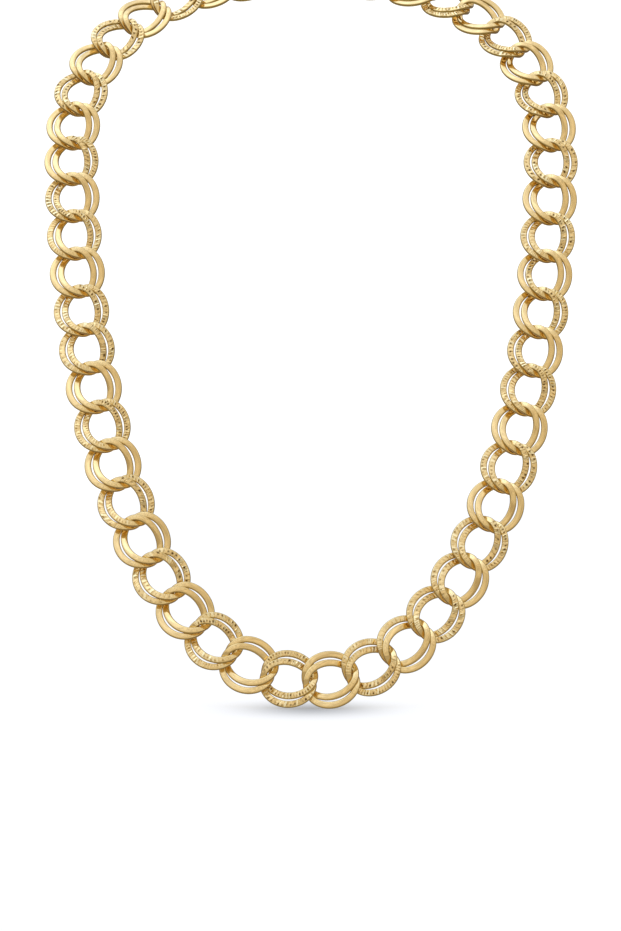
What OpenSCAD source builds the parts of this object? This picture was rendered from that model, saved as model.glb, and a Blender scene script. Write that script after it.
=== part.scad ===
// Necklace of double circle links: every link is a pair of equal round rings,
// set side by side and curbed so that the chain lies flat. It keeps the curve
// of a worn necklace: a hanging bow in front and a plain way round the neck.
// Origin: middle of the clasp's flat underside, at the nape. +Z up, front to -Y.

/* [Chain] */
// Length that one link adds to the chain
pitch = 9.1; // [9.0:0.05:9.2]
// Links from the middle of the bow to the clasp, on each side
side_links = 24; // [22:1:24]
// Links on each side, from the bow upwards, that are pieces of their own
front_links = 16; // [14:1:18]
// Millimetres that a joint closes up for each degree that it bends
bend_take_up = 0.014; // [0.008:0.001:0.016]

/* [Ring] */
// Half the width of a ring, to the middle of its wire
ring_rx = 4.44; // [4.40:0.01:4.50]
// Half the length of a ring along the chain, to the middle of its wire
ring_ry = 5.30; // [5.28:0.01:5.32]
// Sideways distance between the two rings of a link
ring_shift = 1.79; // [1.77:0.01:1.83]
// How steeply a ring dives through its neighbours, as a slope
dive_slope = 0.797; // [0.79:0.001:0.81]
// Depth at which the dive levels out
dive_depth = 1.63; // [1.61:0.01:1.69]
// Distance in depth between the two rings at a link's ends
stack_end = 0.534; // [0.53:0.001:0.55]
// What that distance gains on the way to the sides
stack_side = 0.257; // [0.24:0.001:0.27]

/* [Wire] */
// Width of the flattened wire, seen from the front, at a link's sides
wire_w = 1.46; // [1.38:0.01:1.47]
// Width of the wire at a link's ends, where neighbours meet
wire_end_w = 1.26; // [1.10:0.01:1.27]
// Thickness of the flattened wire
wire_t = 0.84; // [0.78:0.01:0.84]

/* [Drape] */
// Width of the bow, in links: smaller is a narrower bow
bow_width = 3.01; // [2.95:0.01:3.05]
// Degrees that each link turns the strands inwards besides the bow
inward_turn = 0.584; // [0.57:0.001:0.60]
// Degrees by which that turn fades, for each link squared
inward_fade = 0.0038; // [0.003:0.0001:0.005]
// Backward lean of the bow, in degrees from upright
front_lean = 18; // [15:0.5:20]
// How far all links have slipped round to the left, in links
slip = 0.03; // [0:0.01:0.05]
// Lean of the stretch at the nape, in degrees from upright
back_lean = 40; // [30:1:42]
// Degrees that each link turns on the way round the neck
neck_turn = 11.0; // [10.8:0.1:11.2]

/* [Clasp] */
// Diameter of the clasp's barrel
barrel_d = 4.8; // [4.4:0.1:5]
// Radius of the barrel's rounded edges
barrel_r = 0.8; // [0.5:0.1:1]
// Height of the barrel's middle over its flat underside
barrel_h = 1.9; // [1.8:0.1:2]
// Radius of each end loop, to the middle of its wire
loop_r = 2.7; // [2.6:0.05:2.8]
// Diameter of the end loops' wire
loop_wire = 1.0; // [0.9:0.05:1.1]
// Distance from a loop's middle to the link ends that it holds
loop_seat = 1.0; // [0.9:0.01:1.05]
// How far each loop is sunk into the barrel's end
loop_sink = 0.35; // [0.3:0.05:0.6]

/* [Hidden] */
$fn = 48;
gold = [0.87, 0.69, 0.38];
wire_sides = 6;
ring_steps = 12;
// The straight steps of a ring touch the true oval at its ends and sides.
step_out = 1 / cos(180 / ring_steps);
// The lean starts to grow here and is full at the clasp, in links.
lean_start = 13.5;
// From here on the strands turn round the neck, in links.
neck_start = 16;

function smooth(x) = let(c = max(0, min(1, x))) c * c * (3 - 2 * c);
function unit(v) = v / norm(v);
function levelled(x, depth) = x / sqrt(1 + pow(x / depth, 2));

// Way of a strand, s links from the middle of the bow. Its turn is 0 where it
// runs sideways and 90 where it runs up the strand.
function bow_turn(s) = atan(s / bow_width) + inward_turn * s - inward_fade * s * s;
function turn(s) = s < neck_start ? bow_turn(s)
    : bow_turn(neck_start) + neck_turn * (s - neck_start);
function lean(s) = front_lean
    + (back_lean - front_lean) * smooth((s - lean_start) / (side_links - lean_start));

// Link k of a side, counted from 0 at the middle of the bow: its place along
// the strand, its direction up the strand and the direction of its front.
function link_s(side, k) = k + 0.5 - side * slip;
function along(side, k) = let(s = link_s(side, k))
    [side * cos(turn(s)), sin(turn(s)) * sin(lean(s)), sin(turn(s)) * cos(lean(s))];
function front(side, k) = let(s = link_s(side, k)) [0, -cos(lean(s)), sin(lean(s))];

// Half the length of chain that a joint with this bend leaves for each link.
function half_joint(bend) = (pitch - bend_take_up * bend) / 2;
function bend_after(side, k) = acos(min(1, along(side, k) * along(side, k + 1)));
middle_bend = turn(link_s(-1, 0)) + turn(link_s(1, 0));

function link_middle(side, k) = k == 0
    ? [-slip * pitch, 0, 0] + half_joint(middle_bend) * along(side, 0)
    : link_middle(side, k - 1)
        + half_joint(bend_after(side, k - 1)) * (along(side, k - 1) + along(side, k));

// The clasp runs straight across the nape between the two last links. Each of
// its loops stands square to the ring ends that it holds.
function strand_end(side) = link_middle(side, side_links - 1)
    + (ring_ry + loop_seat) * along(side, side_links - 1);
clasp_middle = (strand_end(-1) + strand_end(1)) / 2;
origin = clasp_middle - [0, 0, barrel_h];
loop_x = norm(strand_end(1) - strand_end(-1)) / 2;
loop_lie = atan(dive_slope);
barrel_l = 2 * (loop_x - loop_r - loop_wire / 2 + loop_sink);

// A link's own Y runs up the left strand and down the right one, its Z out of
// the chain's front and its X to the inside of the loop.
function link_place(side, k) =
    let(y = -side * along(side, k))
    let(z = front(side, k))
    let(x = cross(y, z))
    let(at = link_middle(side, k) - origin)
    [[x[0], y[0], z[0], at[0]],
     [x[1], y[1], z[1], at[1]],
     [x[2], y[2], z[2], at[2]],
     [0, 0, 0, 1]];

// Middle of the wire of one ring at t degrees from the link's upper end. Which
// is 1 for the ring nearer the inside of the loop and -1 for the other.
function ring_point(which, t) = [
    ring_rx * step_out * sin(t) + which * ring_shift / 2,
    ring_ry * step_out * cos(t),
    cos(t) * (levelled(dive_slope * ring_rx * sin(t), dive_depth)
        - which * (stack_end + stack_side * pow(sin(t), 2)) / 2)];

// The wire's section: a flattened hexagon with its flats to front and back.
function wire_width(t) = wire_w - (wire_w - wire_end_w) * pow(cos(t), 2);
function section_point(which, t, a) =
    let(way = unit(ring_point(which, t + 1) - ring_point(which, t - 1)))
    let(wide = unit([-way[1], way[0], 0]))
    ring_point(which, t)
        + wide * wire_width(t) / 2 * cos(a)
        + cross(way, wide) * wire_t / 2 / cos(180 / wire_sides) * sin(a);

module ring(which) {
    at = function (i, j) (i % ring_steps) * wire_sides + j % wire_sides;
    points = [for (i = [0 : ring_steps - 1], j = [0 : wire_sides - 1])
        section_point(which, (i + 0.5) * 360 / ring_steps, j * 360 / wire_sides)];
    faces = [for (i = [0 : ring_steps - 1], j = [0 : wire_sides - 1], half = [0, 1])
        half == 0 ? [at(i, j), at(i, j + 1), at(i + 1, j)]
            : [at(i + 1, j), at(i, j + 1), at(i + 1, j + 1)]];
    polyhedron(points = points, faces = faces, convexity = 6);
}

// One link: two loose rings that hold both neighbours between them.
module link(side, k) {
    color(gold) multmatrix(link_place(side, k)) {
        ring(1);
        ring(-1);
    }
}

// The links on one side that run round the neck, out of the front view.
module back_strand(side) {
    for (k = [front_links : side_links - 1]) link(side, k);
}

// A plain barrel, flat underneath, with a soldered loop at each end that holds
// the strand's last link.
module clasp_loop(side) {
    translate([side * loop_x, 0, 0])
        rotate([90 - back_lean + side * loop_lie, 0, 0])
            rotate([90, 0, 0])
                rotate_extrude()
                    translate([loop_r, 0]) circle(d = loop_wire);
}

module barrel_profile() {
    half = barrel_l / 2;
    inner = barrel_d / 2 - barrel_r;
    translate([0, -half]) square([inner, barrel_l]);
    translate([0, barrel_r - half]) square([barrel_d / 2, barrel_l - 2 * barrel_r]);
    intersection() {
        for (end = [-1, 1])
            translate([inner, end * (half - barrel_r)]) circle(r = barrel_r);
        translate([0, -half]) square([barrel_d, barrel_l]);
    }
}

module clasp() {
    color(gold) translate([0, 0, barrel_h]) union() {
        difference() {
            rotate([0, 90, 0]) rotate_extrude() barrel_profile();
            translate([-barrel_l, -barrel_d, -barrel_h - barrel_d])
                cube([2 * barrel_l, 2 * barrel_d, barrel_d]);
        }
        for (side = [-1, 1]) clasp_loop(side);
    }
}

for (k = [1 : front_links])
    link(-1, front_links - k);
for (k = [1 : front_links])
    link(1, front_links - k);
back_strand(-1);  // back_left
back_strand(1);  // back_right
clasp();
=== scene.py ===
import bpy
import numpy as np
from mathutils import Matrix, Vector


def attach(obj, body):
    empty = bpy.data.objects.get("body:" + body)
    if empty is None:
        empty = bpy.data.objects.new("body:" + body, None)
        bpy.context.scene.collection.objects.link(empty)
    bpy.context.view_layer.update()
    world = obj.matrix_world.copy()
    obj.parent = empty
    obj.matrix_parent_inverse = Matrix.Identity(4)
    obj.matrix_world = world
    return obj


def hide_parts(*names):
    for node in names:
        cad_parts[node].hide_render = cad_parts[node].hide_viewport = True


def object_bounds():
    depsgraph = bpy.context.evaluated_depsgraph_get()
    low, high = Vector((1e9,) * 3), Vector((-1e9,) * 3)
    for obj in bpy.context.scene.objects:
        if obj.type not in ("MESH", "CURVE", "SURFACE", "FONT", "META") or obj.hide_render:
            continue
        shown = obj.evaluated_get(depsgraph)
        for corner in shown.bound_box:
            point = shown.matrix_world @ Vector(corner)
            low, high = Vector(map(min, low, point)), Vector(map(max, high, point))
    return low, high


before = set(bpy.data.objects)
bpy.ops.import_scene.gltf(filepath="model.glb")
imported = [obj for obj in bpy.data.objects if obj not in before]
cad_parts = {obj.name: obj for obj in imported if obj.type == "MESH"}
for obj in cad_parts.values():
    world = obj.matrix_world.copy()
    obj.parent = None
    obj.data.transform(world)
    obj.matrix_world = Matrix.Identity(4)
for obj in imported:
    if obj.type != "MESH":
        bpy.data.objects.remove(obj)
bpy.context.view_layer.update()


# The chain's way: 48 links hang from the nape in a bow that leans back a little,
# turns round the neck and closes behind. A joint draws its two links together
# where it bends, and the whole chain has slipped a trifle round to the left.
MM = 0.001

# In mm, in degrees, and in links counted along a strand from the bow's middle.
PITCH, BEND_TAKE_UP, SLIP = 9.1, 0.014, 0.03
SIDE_LINKS, FRONT_LINKS = 24, 16
BOW_WIDTH, INWARD_TURN, INWARD_FADE = 3.01, 0.584, 0.0038
NECK_START, NECK_TURN = 16, 11.0
LEAN_START, FRONT_LEAN, BACK_LEAN = 13.5, 18, 40
CLASP_REACH, CLASP_HEIGHT = 6.31, 1.9


def smooth_step(x, start=0, width=1):
    """Rises from 0 to 1 as x crosses the width after start, level at both ends:
    with u the part crossed, u squared times 3 - 2u."""
    u = np.clip((x - start) / width, 0, 1)
    return u * u * (3 - 2 * u)


def bow_turn(s):
    """Turn of the hanging bow s links from its middle, in radians: an arctangent,
    and an inward drift that fades with the square of s."""
    return np.arctan(s / BOW_WIDTH) + np.radians(INWARD_TURN * s - INWARD_FADE * s * s)


def strand_turn(s):
    """Turn of the strand at s, in radians: the bow's, then even steps round the neck."""
    if s < NECK_START:
        return bow_turn(s)
    return bow_turn(NECK_START) + np.radians(NECK_TURN) * (s - NECK_START)


def strand_lean(s):
    """Backward lean at s, in radians: it grows from the front's to the nape's."""
    grown = smooth_step(s, LEAN_START, SIDE_LINKS - LEAN_START)
    return np.radians(FRONT_LEAN + (BACK_LEAN - FRONT_LEAN) * grown)


def link_ways(side, k):
    """Unit vectors of link k of a side, counted from the bow's middle: along the
    strand and up it, and out of the chain's front."""
    s = k + 0.5 - side * SLIP
    turn, lean = strand_turn(s), strand_lean(s)
    along = np.array([side * np.cos(turn), np.sin(turn) * np.sin(lean),
                      np.sin(turn) * np.cos(lean)])
    return along, np.array([0, -np.cos(lean), np.sin(lean)])


def strand_places(side):
    """Middle of each link of a side and the strand's end: each middle is the last
    one plus half a joint's length along both of its links."""
    ways = [link_ways(side, k)[0] for k in range(SIDE_LINKS)]
    first = strand_turn(0.5 - SLIP) + strand_turn(0.5 + SLIP)
    bends = [first] + [np.arccos(a @ b) for a, b in zip(ways, ways[1:])]
    halves = [(PITCH - BEND_TAKE_UP * np.degrees(b)) / 2 for b in bends]
    places = [halves[0] * ways[0] - [SLIP * PITCH, 0, 0]]
    for k in range(1, SIDE_LINKS):
        places.append(places[-1] + halves[k] * (ways[k - 1] + ways[k]))
    return places, places[-1] + CLASP_REACH * ways[-1]


left_places, left_end = strand_places(-1)
right_places, right_end = strand_places(1)
bow_middle = np.array([0, 0, CLASP_HEIGHT]) - (left_end + right_end) / 2


def link_axes(side, k):
    """Rows are the link's own X (to the inside of the loop), Y (up the left
    strand, down the right one) and Z (out of the chain's front); then its middle."""
    along, front = link_ways(side, k)
    y = -side * along
    places = left_places if side < 0 else right_places
    return np.array([np.cross(y, front), y, front]), places[k] + bow_middle


# Rings: a link is two equal rings of flattened wire, drawn through a curbing
# die so that they dive through their neighbours and lie flat. The front of
# some is cut crosswise with a diamond wheel, between two plain rims.
RING_X, RING_Y, RING_SHIFT = 4.44, 5.30, 1.79
RING_MEAN = (RING_X + RING_Y) / 2
DIVE_SLOPE, DIVE_DEPTH = 0.797, 1.63
STACK_END, STACK_SIDE = 0.534, 0.257
WIRE_SIDE, WIRE_END, WIRE_THICK = 1.46, 1.34, 0.88
FLAT, CROWN = 0.68, 0.05
WAY_STEP = 0.01

# Cuts, in mm, in parts of a cut's length and in parts of half the wire's width.
# A cut's second step is the bottom of its groove, the others lie on its face.
PLAIN_STEPS = 120
CUT_COUNTS = (30, 34, 40, 46, 52)
CUT_PLACES = np.array([0, 0.16, 0.32, 0.54, 0.77])
CUT_SLANT, CUT_TILT, CUT_SWAY, TILT_MIDDLE = 0.35, 0.16, 1.8, 0.45
GROOVE_DEPTH, PIT_DEPTH, PIT_LEAST = 0.03, 0.17, 0.2
PIT_FROM, PIT_TO, PIT_SPREAD, PIT_WIDTH = -0.20, 0.40, 0.4, 0.30
CUT_EDGE, FACET_EDGE, FACET_LEAST = 1.02 * FLAT, 1.2 * FLAT, 0.25

# Where cuts and the painted tones fade in: each starts at its first value and is
# whole its second value later. Cuts and the knots' painted light count from a link's
# ends to its sides, the painted shade of walls, crevices and dome from the wire's
# middle to its edge.
CUT_FADE, KNOT_FADE, SPARK_FADE = (0.12, 0.30), (0.12, 0.50), (1.7 / 3, 1 / 3)
WALL_FADE, CREVICE_FADE = (0.75, 0.16), (0.66, 0.16)
DOME_FADE, DOME_SHARE = (0.05, 0.6), 0.13
# Pits painted dark as shade, how far along a cut that painted shade reaches, and how much less
# of it the faces between take.
PIT_DARK, PIT_REACH, FACE_LIGHT = 2.4, 0.22, 0.12

# The pattern on the wire runs in mm: half the wire's width in it, and the step
# from one ring's stretch of it to the next ring's.
UV_HALF, UV_STEP = 0.7, 40


def ring_middle(t, which):
    """Middle of the wire at angle t from the link's upper end: an oval, moved
    half the shift to its side, whose depth is cos t times a dive that levels
    out, less half of the distance that the pair keeps front to back."""
    dive = DIVE_SLOPE * RING_X * np.sin(t)
    dive = dive / np.sqrt(1 + (dive / DIVE_DEPTH) ** 2)
    stack = which * (STACK_END + STACK_SIDE * np.sin(t) ** 2) / 2
    return np.stack([RING_X * np.sin(t) + which * RING_SHIFT / 2,
                     RING_Y * np.cos(t), np.cos(t) * (dive - stack)], -1)


def wire_section():
    """Half-unit section of the wire, from the ring's outer edge over the front
    to its inner edge and back: a slightly crowned flat, an elliptic round over
    to each edge, and a round back."""
    roll = np.radians([90, 74, 54, 30])
    edge = FLAT + (1 - FLAT) * np.sin(roll), (1 - CROWN) * np.cos(roll)
    flat = np.linspace(FLAT, -FLAT, 7)
    back = np.radians([216, 252, 288, 324])
    across = np.concatenate([edge[0], flat, -edge[0][::-1], np.cos(back)])
    crown = 1 - CROWN * (flat / FLAT) ** 2
    rise = np.concatenate([edge[1], crown, edge[1][::-1], np.sin(back)])
    return across, rise


def unit(v):
    """The vectors at length 1: each divided by its own length."""
    return v / np.linalg.norm(v, axis=-1, keepdims=True)


def wire_ways(t, which):
    """Unit vectors across the wire and out of its front at angle t: the first lies
    flat in the link, square to the wire's way, and the second is square to both."""
    way = unit(ring_middle(t + WAY_STEP, which) - ring_middle(t - WAY_STEP, which))
    wide = unit(np.stack([-way[..., 1], way[..., 0], 0 * t], -1))
    return wide, np.cross(way, wide)


def ring_steps(cuts, is_cut):
    """Angles of the steps along a ring, the cut that each belongs to and its place
    in that cut. A plain ring has even steps, all of one cut and place."""
    if is_cut:
        cell, place = np.divmod(np.arange(cuts * len(CUT_PLACES)), len(CUT_PLACES))
        return 2 * np.pi * (cell + CUT_PLACES[place]) / cuts, cell, place
    cell = place = np.zeros(PLAIN_STEPS, int)
    return 2 * np.pi * np.arange(PLAIN_STEPS) / PLAIN_STEPS, cell, place


def ring_surface(which, cut_sides, rng):
    """Points of one ring on a grid of steps along the wire and places around its
    section, with the marks, the pattern's coordinates and the flat faces' corners.
    A point is the wire's middle, plus the section across it and out of its front,
    less the cut. Every ring has its own number of cuts, slant and place of pits."""
    across, rise = wire_section()
    edge = np.abs(across)
    cuts = rng.choice(CUT_COUNTS)
    slant, pit_place = rng.uniform([-CUT_SLANT, PIT_FROM], [CUT_SLANT, PIT_TO])
    steps, cell, place = ring_steps(cuts, max(cut_sides) > 0)
    t = steps[:, None] + slant * (2 * np.pi / cuts) * across[None, :]
    beside = np.abs(np.sin(t))

    # Each cut sinks the flat front along a V and some are deepest in a pit, the
    # faces between are tilted, and all fade towards the crossings.
    strength = np.where(np.sin(t) > 0, cut_sides[0], cut_sides[1])
    strength = strength * smooth_step(beside, *CUT_FADE)
    vee = (place == 1)[:, None]
    depth, lean, spot = (rng.random((3, cuts))[:, cell])[..., None]
    from_pit = (across - pit_place + PIT_SPREAD * (spot - 0.5)) / PIT_WIDTH
    pit = (PIT_LEAST + (1 - PIT_LEAST) * depth ** 2) * np.exp(-from_pit ** 2)
    face = np.where(vee, 0, (place[:, None] - 3) / 2)
    tilt = (lean - TILT_MIDDLE) * face + CUT_SWAY * (spot - 0.5) * across
    sink = vee * (GROOVE_DEPTH + PIT_DEPTH * pit) + ~vee * CUT_TILT * tilt
    on_front = ((rise > 0) & (edge < CUT_EDGE))[None, :]
    sink = sink * on_front * strength

    wide, front = wire_ways(t, which)
    width = WIRE_SIDE - (WIRE_SIDE - WIRE_END) * np.cos(t) ** 2
    points = ring_middle(t, which) + wide * (width / 2 * across)[..., None] \
        + front * (WIRE_THICK / 2 * rise - sink)[..., None]

    # Marks for the gold, painted light and shade: painted shade in the pits, on the walls
    # and the dome's edges of the bands and in the crevices of the crossings, painted light
    # on the crossings, and painted highlights on some of the cut faces.
    # Painted shade: the bottoms of the cuts are painted dark in the pits, and the faces
    # between are kept clear of it.
    from_vee = (CUT_PLACES[place][:, None] - CUT_PLACES[1]) / PIT_REACH
    dark = PIT_DARK * pit * np.exp(-from_vee ** 2) - FACE_LIGHT * ~vee
    # Painted shade: each band's walls are painted dark, and its flat a little darker towards
    # its edges, as a lit dome would show.
    dome = DOME_SHARE * smooth_step(edge, *DOME_FADE)
    painted_wall_shade = np.maximum(smooth_step(edge, *WALL_FADE), dome)
    # Painted light: the crossings are painted a paler gold to lift their shade.
    knot = 1 - smooth_step(beside, *KNOT_FADE)
    marks = {
        "cut": strength ** 2 * on_front * np.clip(dark, 0, 1),
        "painted_wall_shade": np.broadcast_to(painted_wall_shade, t.shape),
        "knot": knot,
        # Painted shade in the crevices where the bands of a crossing meet.
        "painted_crevice_shade": knot * smooth_step(edge, *CREVICE_FADE),
        # Painted highlight: some cut faces are painted a paler gold.
        "painted_glint": strength * on_front * ~vee * smooth_step(lean, *SPARK_FADE),
    }
    uv = np.stack([t * RING_MEAN, np.broadcast_to(across * UV_HALF, t.shape)], -1)
    flat = (strength > FACET_LEAST) & ((rise > 0) & (edge < FACET_EDGE))[None, :]
    return points, marks, uv, flat


def band_faces(rows, cols):
    """Quads of a grid that closes both ways, turned so that they face out."""
    i, j = np.meshgrid(np.arange(rows), np.arange(cols), indexing="ij")
    up, over = (i + 1) % rows, (j + 1) % cols
    quads = [i * cols + j, i * cols + over, up * cols + over, up * cols + j]
    return np.stack(quads, -1).reshape(-1, 4)


def closed_uv(uv, quads):
    """The pattern's coordinates at the quads' corners. In the quads that close the
    ring, the corners that are back at its start count one turn further on."""
    corner_uv = uv.reshape(-1, 2)[quads]
    turn = 2 * np.pi * RING_MEAN
    wrap = corner_uv[..., 0].max(1, keepdims=True) - corner_uv[..., 0] > turn / 2
    corner_uv[..., 0] += turn * wrap
    return corner_uv


def new_object(name, data):
    """An object in the scene that shows this mesh, lamp or camera."""
    made = bpy.data.objects.new(name, data)
    bpy.context.collection.objects.link(made)
    return made


def build_links(name, links, rng):
    """One mesh of several links: (side, k, cuts) each, both rings of every one."""
    points, faces, flats, uvs = [], [], [], []
    marks = {"cut": [], "painted_wall_shade": [], "knot": [], "painted_crevice_shade": [], "painted_glint": []}
    base = 0
    for side, k, cuts in links:
        axes, middle = link_axes(side, k)
        for which, cut_sides in zip((1, -1), cuts):
            grid, mark, uv, flat = ring_surface(which, cut_sides, rng)
            rows, cols = grid.shape[:2]
            quads = band_faces(rows, cols)
            points.append((grid.reshape(-1, 3) @ axes + middle) * MM)
            faces.append(quads + base)
            flats.append(flat.ravel()[quads].all(1))
            uvs.append(closed_uv(uv, quads) + [UV_STEP * side * (2 * k + (which < 0)), 0])
            for key in marks:
                marks[key].append(mark[key].ravel())
            base += rows * cols
    mesh = bpy.data.meshes.new(name)
    quads = np.concatenate(faces)
    mesh.vertices.add(base)
    mesh.vertices.foreach_set("co", np.concatenate(points).ravel())
    mesh.loops.add(quads.size)
    mesh.loops.foreach_set("vertex_index", quads.ravel().astype(np.int32))
    mesh.polygons.add(len(quads))
    mesh.polygons.foreach_set("loop_start", np.arange(0, quads.size, 4, dtype=np.int32))
    mesh.polygons.foreach_set("use_smooth", ~np.concatenate(flats))
    layer = mesh.uv_layers.new(name="wire")
    layer.data.foreach_set("uv", np.concatenate(uvs).ravel())
    for key, values in marks.items():
        attribute = mesh.attributes.new(key, "FLOAT", "POINT")
        attribute.data.foreach_set("value", np.concatenate(values))
    mesh.update()
    mesh.validate()
    return new_object(name, mesh)


# Gold: 14 carat, polished on the rings and left a shade softer on the clasp.
# Fine polishing lines run along the wire. Shade is painted in darker, browner tones
# on the walls of the bands, in the crevices of the crossings and at the bottoms of the cuts.
GOLD_TONE, GOLD_DEEP = (0.98, 0.685, 0.29, 1), (0.93, 0.60, 0.22, 1)
GOLD_PAINTED_REFLECTION = (0.88, 0.71, 0.37, 1)
RING_ROUGH, CLASP_ROUGH, ROUGH_GAIN = 0.07, 0.12, 0.06
CLOUD_SIZE, CLOUD_FROM, CLOUD_TO, CLOUD_SHARE = 260.0, 0.40, 0.75, 0.35
FINE_SIZE = 2600.0
LINE_STRETCH, LINE_HEIGHT, CLASP_LINE_HEIGHT = (0.25, 3.2, 1.0), 0.02, 0.0025

# The wire's marks of painted light and shade, in the order in which they are laid on,
# how much of each shows and the tone that it takes: painted shade on the walls, painted
# light on the crossings, painted highlights on cut faces, painted shade in pits and crevices.
MARK_TONES = (("painted_wall_shade", 0.88, (0.30, 0.22, 0.06, 1)),
              ("knot", 0.60, (0.98, 0.72, 0.32, 1)),
              ("painted_glint", 1.00, (1.00, 0.80, 0.42, 1)),
              ("cut", 1.00, (0.13, 0.07, 0.015, 1)),
              ("painted_crevice_shade", 0.80, (0.22, 0.11, 0.02, 1)))


def add_node(tree, kind, inputs=(), **settings):
    """A node with its settings, whose inputs are set or linked by name or number."""
    node = tree.nodes.new(kind)
    for key, value in settings.items():
        setattr(node, key, value)
    for key, value in inputs:
        if isinstance(value, bpy.types.NodeSocket):
            tree.links.new(value, node.inputs[key])
        else:
            node.inputs[key].default_value = value
    return node


def reckoned(tree, operation, *values):
    """The result of one operation on up to three numbers."""
    return add_node(tree, "ShaderNodeMath", enumerate(values), operation=operation).outputs[0]


def mixed(tree, factor, a, b):
    """Colour a turned into colour b by the factor."""
    mix = add_node(tree, "ShaderNodeMix", [(0, factor), (6, a), (7, b)], data_type="RGBA")
    return mix.outputs[2]


def ranged(tree, value, start, end, low, high):
    """The value's way from start to end turned into one from low to high."""
    return add_node(tree, "ShaderNodeMapRange", [
        ("Value", value), ("From Min", start), ("From Max", end),
        ("To Min", low), ("To Max", high)]).outputs["Result"]


def noise(tree, place, scale, detail, roughness=0.5):
    """Soft noise at a place, mostly from 0.3 to 0.7."""
    return add_node(tree, "ShaderNodeTexNoise", [
        ("Vector", place), ("Scale", scale), ("Detail", detail),
        ("Roughness", roughness)]).outputs["Fac"]


def polish_group():
    """Colour clouding, roughness and the height of fine polishing lines: coarse
    noise clouds the tone, fine noise roughens the metal and raises the lines."""
    group = bpy.data.node_groups.new("gold_polish", "ShaderNodeTree")
    for label, kind in (("Position", "NodeSocketVector"), ("Tone", "NodeSocketColor"),
                        ("Deep tone", "NodeSocketColor"), ("Roughness", "NodeSocketFloat")):
        group.interface.new_socket(label, in_out="INPUT", socket_type=kind)
    for label, kind in (("Color", "NodeSocketColor"), ("Roughness", "NodeSocketFloat"),
                        ("Height", "NodeSocketFloat")):
        group.interface.new_socket(label, in_out="OUTPUT", socket_type=kind)
    given = group.nodes.new("NodeGroupInput").outputs
    cloud = noise(group, given["Position"], CLOUD_SIZE, 3.0, 0.6)
    fine = noise(group, given["Position"], FINE_SIZE, 2.0)
    share = ranged(group, cloud, CLOUD_FROM, CLOUD_TO, 0.0, CLOUD_SHARE)
    add_node(group, "NodeGroupOutput", [
        ("Color", mixed(group, share, given["Tone"], given["Deep tone"])),
        ("Roughness", reckoned(group, "MULTIPLY_ADD", fine, ROUGH_GAIN, given["Roughness"])),
        ("Height", fine)])
    return group


polish = polish_group()


def gold_material(name, on_wire):
    """Polished gold: on the wire with its marks and with lines along it."""
    material = bpy.data.materials.new(name)
    material.use_nodes = True
    tree = material.node_tree
    shader = tree.nodes["Principled BSDF"]
    shader.inputs["Metallic"].default_value = 1.0
    place = add_node(tree, "ShaderNodeTexCoord")
    base = add_node(tree, "ShaderNodeGroup", [
        ("Position", place.outputs["Object"]), ("Tone", GOLD_TONE), ("Deep tone", GOLD_DEEP),
        ("Roughness", RING_ROUGH if on_wire else CLASP_ROUGH)], node_tree=polish)
    colour = base.outputs["Color"]
    if on_wire:
        # Each mark lays its painted shade or painted light over the gold's tone.
        for key, share, tone in MARK_TONES:
            mark = add_node(tree, "ShaderNodeAttribute", attribute_name=key).outputs["Fac"]
            colour = mixed(tree, reckoned(tree, "MULTIPLY", mark, share), colour, tone)
        along = add_node(tree, "ShaderNodeUVMap", uv_map="wire").outputs["UV"]
        stretch = add_node(tree, "ShaderNodeMapping", [
            ("Vector", along), ("Scale", LINE_STRETCH)])
        lines = noise(tree, stretch.outputs["Vector"], 1.0, 2.0)
        height = reckoned(tree, "MULTIPLY", lines, LINE_HEIGHT)
    else:
        height = reckoned(tree, "MULTIPLY", base.outputs["Height"], CLASP_LINE_HEIGHT)
    # Reflections see the gold in a browner tone: a painted reflection colour
    # that keeps the knots calm.
    ray = add_node(tree, "ShaderNodeLightPath")
    in_reflection = reckoned(tree, "GREATER_THAN", ray.outputs["Ray Depth"], 0.5)
    colour = mixed(tree, in_reflection, colour, GOLD_PAINTED_REFLECTION)
    bump = add_node(tree, "ShaderNodeBump", [
        ("Height", height), ("Strength", 1.0), ("Distance", MM)])
    tree.links.new(colour, shader.inputs["Base Color"])
    tree.links.new(base.outputs["Roughness"], shader.inputs["Roughness"])
    tree.links.new(bump.outputs["Normal"], shader.inputs["Normal"])
    return material


ring_gold = gold_material("ring_gold", True)
clasp_gold = gold_material("clasp_gold", False)


# Front links: 16 on each side, a piece each, from the top down. The letters tell
# how the four bands across a link are cut, from the left of the chain's front to
# the right: P is plain, T is cut, s is cut softly and t faintly.
LEFT_FINISH = ("PPTT TTPP tPTT PPPP ssTT ssTT PPPP ssTT "
               "PPPP ssTT PPPP ssTT PPPP ssTT PPPP TTTT").split()
RIGHT_FINISH = ("TTTT PPPP ssTT PTPP PPTT TTPP ssTT PPPP "
                "ssTT PPPP ssTT ssPP ssTT tPPP ssTT PPPP").split()
STRENGTH = {"P": 0.0, "t": 0.45, "s": 0.65, "T": 1.0}
FRONT_SEED = 50


def band_cuts(side, bands):
    """Strengths of both rings' cuts, inner side first: the left strand's X runs
    to the right of the picture and the right strand's to the left."""
    a, b, c, d = (STRENGTH[letter] for letter in bands)
    if side < 0:
        return (d, b), (c, a)
    return (a, c), (b, d)


for side, word, finish in ((-1, "left", LEFT_FINISH), (1, "right", RIGHT_FINISH)):
    for n, bands in enumerate(finish, 1):
        links = [(side, FRONT_LINKS - n, band_cuts(side, bands))]
        rng = np.random.default_rng(FRONT_SEED + 100 * n + 7 * side)
        piece = build_links(f"circle_link_{word}_{n}", links, rng)
        piece.data.materials.append(ring_gold)
        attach(piece, "root")
        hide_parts(f"link_{word}_{n}")


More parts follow.
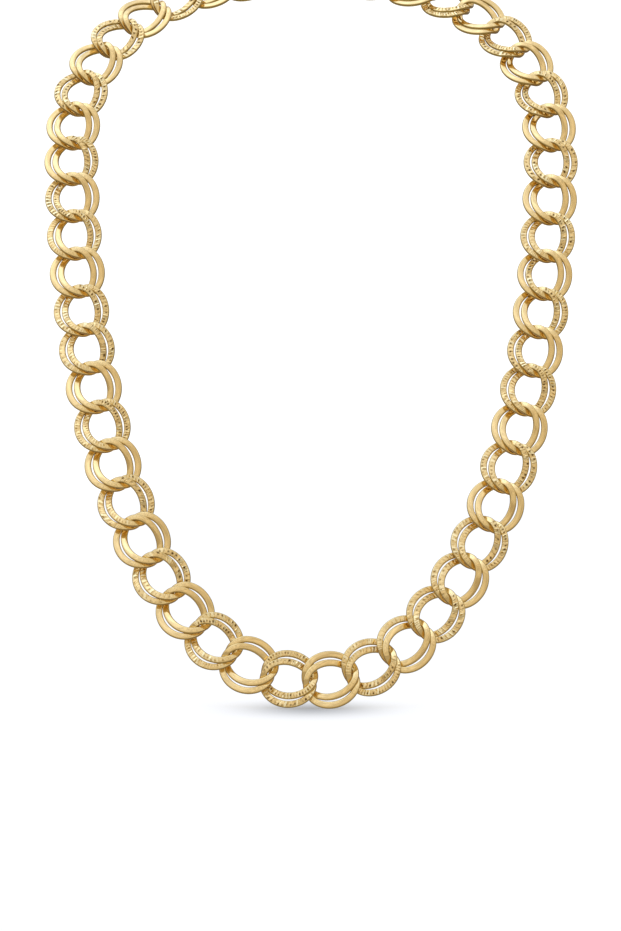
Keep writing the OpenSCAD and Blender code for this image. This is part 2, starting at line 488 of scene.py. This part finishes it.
# Strands round the nape: 8 more of the same double rings on each side, cut and
# plain by turns, as one piece a side that ends at the clasp.
NAPE_SEED = 900
for side, word in ((-1, "left"), (1, "right")):
    links = [(side, k, band_cuts(side, "TTTT" if k % 2 else "PPPP"))
             for k in range(FRONT_LINKS, SIDE_LINKS)]
    rng = np.random.default_rng(NAPE_SEED + side)
    piece = build_links(f"nape_strand_{word}", links, rng)
    piece.data.materials.append(ring_gold)
    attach(piece, "root")
    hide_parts(f"back_{word}")


# Clasp: one plain gold barrel, flat underneath, with a loop soldered to each end
# that holds the strand's last link. Here it is the CAD solid with gold on it.
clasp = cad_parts["clasp"]
clasp.data.materials.clear()
clasp.data.materials.append(clasp_gold)


# Floor: plain white, just under the lowest ring, with a soft shadow under the
# bow's foot that is painted into its glow, not cast. Polished metal sees it as a grey
# glow, as it would see the dark room beyond a lit table, with a lighter patch of glow
# behind the chain, a painted card that fills its back.
FLOOR_PAINT, FLOOR_IN_METAL = (0.20, 0.20, 0.20, 1), (0.46, 0.43, 0.38, 1)
WHITE = (1, 1, 1, 1)
SHADOW_DEPTH, FLOOR_GLOW, CARD_LIGHT = 0.53, 0.86, 1.9

# In metres, as everything is from here on.
FLOOR_HALF, FOOT_FORWARD, SHADOW_REACH = 3, 0.0015, 0.0128
CARD_BACK, CARD_FROM, CARD_TO = 0.12, 0.05, 0.13


def bare_tree(owner):
    """The node tree of a material or world, emptied."""
    owner.use_nodes = True
    owner.node_tree.nodes.clear()
    return owner.node_tree


def away_from(tree, place, point):
    """Distance of a place from a point."""
    return add_node(tree, "ShaderNodeVectorMath", [(0, place), (1, point)],
                    operation="DISTANCE").outputs["Value"]


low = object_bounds()[0][2]
foot = (bow_middle[0] * MM, bow_middle[1] * MM - FOOT_FORWARD, low)
corners = [(FLOOR_HALF * x, FLOOR_HALF * y, low)
           for x, y in ((-1, -1), (1, -1), (1, 1), (-1, 1))]
floor_mesh = bpy.data.meshes.new("floor")
floor_mesh.from_pydata(corners, [], [(0, 1, 2, 3)])
floor = new_object("floor", floor_mesh)
floor_white = bpy.data.materials.new("floor_white")
floor.data.materials.append(floor_white)
tree = bare_tree(floor_white)
seen = add_node(tree, "ShaderNodeLightPath")
here = add_node(tree, "ShaderNodeTexCoord").outputs["Object"]

# The painted shadow is a bell: e to the power of minus the distance squared.
reach = reckoned(tree, "DIVIDE", away_from(tree, here, foot), SHADOW_REACH)
square = reckoned(tree, "POWER", reach, 2.0)
fade = reckoned(tree, "EXPONENT", reckoned(tree, "MULTIPLY", square, -1.0))
glow_level = reckoned(tree, "MULTIPLY_ADD", fade, -SHADOW_DEPTH, FLOOR_GLOW)
paper = add_node(tree, "ShaderNodeBsdfDiffuse", [("Color", FLOOR_PAINT)])
glow = add_node(tree, "ShaderNodeEmission", [("Color", WHITE), ("Strength", glow_level)])
lit = add_node(tree, "ShaderNodeAddShader", [(0, paper.outputs[0]), (1, glow.outputs[0])])
card_away = away_from(tree, here, (foot[0], foot[1] + CARD_BACK, low))
card = ranged(tree, card_away, CARD_FROM, CARD_TO, CARD_LIGHT, 1.0)
grey = add_node(tree, "ShaderNodeEmission", [("Color", FLOOR_IN_METAL), ("Strength", card)])
both = add_node(tree, "ShaderNodeMixShader", [
    (0, seen.outputs["Is Glossy Ray"]), (1, lit.outputs[0]), (2, grey.outputs[0])])
add_node(tree, "ShaderNodeOutputMaterial", [("Surface", both.outputs[0])])


# Studio: a bright tent above the chain to the left, falling off to the right
# and behind, with soft folds in its cloth, and a weak soft lamp high above.
TENT_WAY, LOW_BEHIND = (-0.35, 0.0, 0.94), (0.20, 0.80, -0.56)
TENT_TONES = ((0.20, (0.34, 0.33, 0.31, 1)), (0.48, (0.62, 0.61, 0.58, 1)),
              (0.66, (0.64, 0.63, 0.62, 1)), (0.84, (0.78, 0.84, 0.98, 1)),
              (0.93, (0.86, 0.95, 1.20, 1)), (0.965, (0.93, 1.10, 1.44, 1)),
              (0.99, (1.05, 1.28, 1.78, 1)))
BEHIND_FROM, BEHIND_TO, BEHIND_LIGHT = 0.10, 0.70, 0.55
FOLD_SIZE, FOLD_FROM, FOLD_TO, FOLD_DARK, FOLD_LIGHT = 11.0, 0.30, 0.70, 0.75, 1.48
BACKDROP_LIGHT = 1.2
LAMP_PLACE, LAMP_AIM = (-0.21, -0.22, 0.70), (0, -0.05, -0.08)
LAMP_SIZE, LAMP_POWER = 0.5, 0.12


def facing(tree, way, towards):
    """How far a direction points towards another one: their product."""
    return add_node(tree, "ShaderNodeVectorMath", [(0, way), (1, towards)],
                    operation="DOT_PRODUCT").outputs["Value"]


world = bpy.data.worlds.new("studio")
bpy.context.scene.world = world
tree = bare_tree(world)
seen = add_node(tree, "ShaderNodeLightPath")
way = add_node(tree, "ShaderNodeTexCoord").outputs["Generated"]
height = ranged(tree, facing(tree, way, TENT_WAY), -1.0, 1.0, 0.0, 1.0)
ramp = add_node(tree, "ShaderNodeValToRGB", [("Fac", height)])
stops = ramp.color_ramp.elements
stops.remove(stops[1])
stops[0].position, stops[0].color = TENT_TONES[0]
for place, tone in TENT_TONES[1:]:
    stops.new(place).color = tone
low_behind = facing(tree, way, LOW_BEHIND)
behind = ranged(tree, low_behind, BEHIND_FROM, BEHIND_TO, 1.0, BEHIND_LIGHT)
cloth = noise(tree, way, FOLD_SIZE, 2.0)
folds = ranged(tree, cloth, FOLD_FROM, FOLD_TO, FOLD_DARK, FOLD_LIGHT)
sky = add_node(tree, "ShaderNodeBackground", [
    ("Color", ramp.outputs["Color"]), ("Strength", reckoned(tree, "MULTIPLY", behind, folds))])
backdrop = add_node(tree, "ShaderNodeBackground", [
    ("Color", WHITE), ("Strength", BACKDROP_LIGHT)])
both = add_node(tree, "ShaderNodeMixShader", [
    (0, seen.outputs["Is Camera Ray"]), (1, sky.outputs[0]), (2, backdrop.outputs[0])])
add_node(tree, "ShaderNodeOutputWorld", [("Surface", both.outputs[0])])

lamp_data = bpy.data.lights.new("soft_lamp", "AREA")
lamp_data.shape = "SQUARE"
lamp_data.size = LAMP_SIZE
lamp_data.energy = LAMP_POWER
lamp = new_object("soft_lamp", lamp_data)
lamp.location = LAMP_PLACE
lamp.rotation_euler = (Vector(LAMP_AIM) - lamp.location).to_track_quat("-Z", "Y").to_euler()


# Camera: level, straight in front of the bow, 443 mm from its lowest joint and
# 44 mm above the middles of its two lowest links.
CAMERA_ASIDE, CAMERA_AWAY, CAMERA_UP = -0.00013, 0.4426, 0.04415
SENSOR, FOCUS_PIXELS, PICTURE_HEIGHT = 36.0, 2145, 931

lowest = (link_axes(-1, 0)[1][2] + link_axes(1, 0)[1][2]) / 2
camera_data = bpy.data.cameras.new("camera")
camera_data.sensor_width = SENSOR
camera_data.lens = SENSOR * FOCUS_PIXELS / PICTURE_HEIGHT
camera_data.clip_start = 0.01
camera = new_object("camera", camera_data)
camera.location = (bow_middle[0] * MM + CAMERA_ASIDE, bow_middle[1] * MM - CAMERA_AWAY,
                   lowest * MM + CAMERA_UP)
camera.rotation_euler = (np.pi / 2, 0, 0)
bpy.context.scene.camera = camera
bpy.context.scene.view_settings.view_transform = "Standard"
